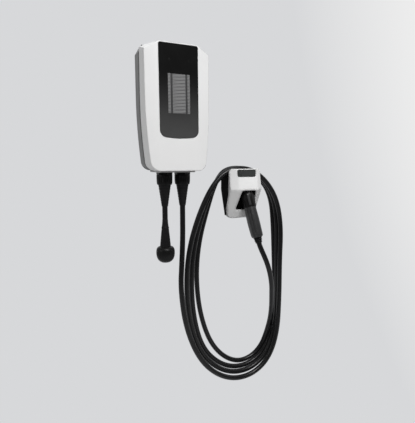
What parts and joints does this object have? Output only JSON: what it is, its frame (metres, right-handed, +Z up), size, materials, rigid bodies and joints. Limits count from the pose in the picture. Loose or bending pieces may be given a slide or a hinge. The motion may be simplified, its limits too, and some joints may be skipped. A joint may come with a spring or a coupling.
{
  "type": "ev wallbox",
  "caption": "Wall-mounted electric-vehicle charger with a black front panel, supply lead with capped plug, and a tethered charging cable coiled on a wall holder that holsters its plug.",
  "frame": {"origin": "centre of the charger's wall-hole pattern, on the wall plane", "axes": "+X to the right seen from the front, +Y into the wall, +Z up; the front faces -Y"},
  "size_m": [0.5545, 0.1487, 1.1838],
  "materials": {
    "white_shell": "fine satin grain",
    "dark_housing": "satin",
    "seal_rubber": "matt",
    "black_panel": "semi-gloss",
    "display_grey": "satin",
    "black_plastic": "satin",
    "plug_plastic": "satin",
    "cable_rubber": "satin",
    "zinc_steel": "zinc plated",
    "device_grey": "matt",
    "board_green": "lacquered",
    "contact_plating": "silver plated"
  },
  "bodies": {
    "root": {"cable_coil": "cable_rubber", "charging_cable_start": "cable_rubber", "charging_cable_tail": "cable_rubber", "charging_lead_inner": "cable_rubber", "contactor": "device_grey", "control_board": "board_green", "cover_screw_1": "zinc_steel", "cover_screw_2": "zinc_steel", "cover_screw_3": "zinc_steel", "cover_screw_4": "zinc_steel", "din_rail": "zinc_steel", "display_louvre": "display_grey", "front_cover": "white_shell", "front_panel": "black_panel", "gland_body_left": "black_plastic", "gland_body_right": "black_plastic", "gland_boot_left": "seal_rubber", "gland_boot_right": "seal_rubber", "gland_locknut_left": "black_plastic", "gland_locknut_right": "black_plastic", "gland_nut_left": "black_plastic", "gland_nut_right": "black_plastic", "gland_plate": "black_plastic", "gland_seal_left": "seal_rubber", "gland_seal_right": "seal_rubber", "holder_cup": "black_plastic", "holder_drum": "black_plastic", "holder_shell": "white_shell", "holder_window": "black_panel", "housing_seal": "seal_rubber", "plug_contact_1": "contact_plating", "plug_contact_2": "contact_plating", "plug_contact_3": "contact_plating", "plug_contact_4": "contact_plating", "plug_contact_5": "contact_plating", "plug_contact_6": "contact_plating", "plug_contact_7": "contact_plating", "plug_contact_block": "black_plastic", "plug_handle": "plug_plastic", "plug_neck": "cable_rubber", "plug_nose": "black_plastic", "rear_housing": "dark_housing", "residual_current_device": "device_grey", "supply_lead": "cable_rubber", "supply_lead_inner": "cable_rubber", "supply_plug_cap": "black_plastic", "supply_plug_sleeve": "cable_rubber", "terminal_block": "device_grey"}
  },
  "joints": []
}
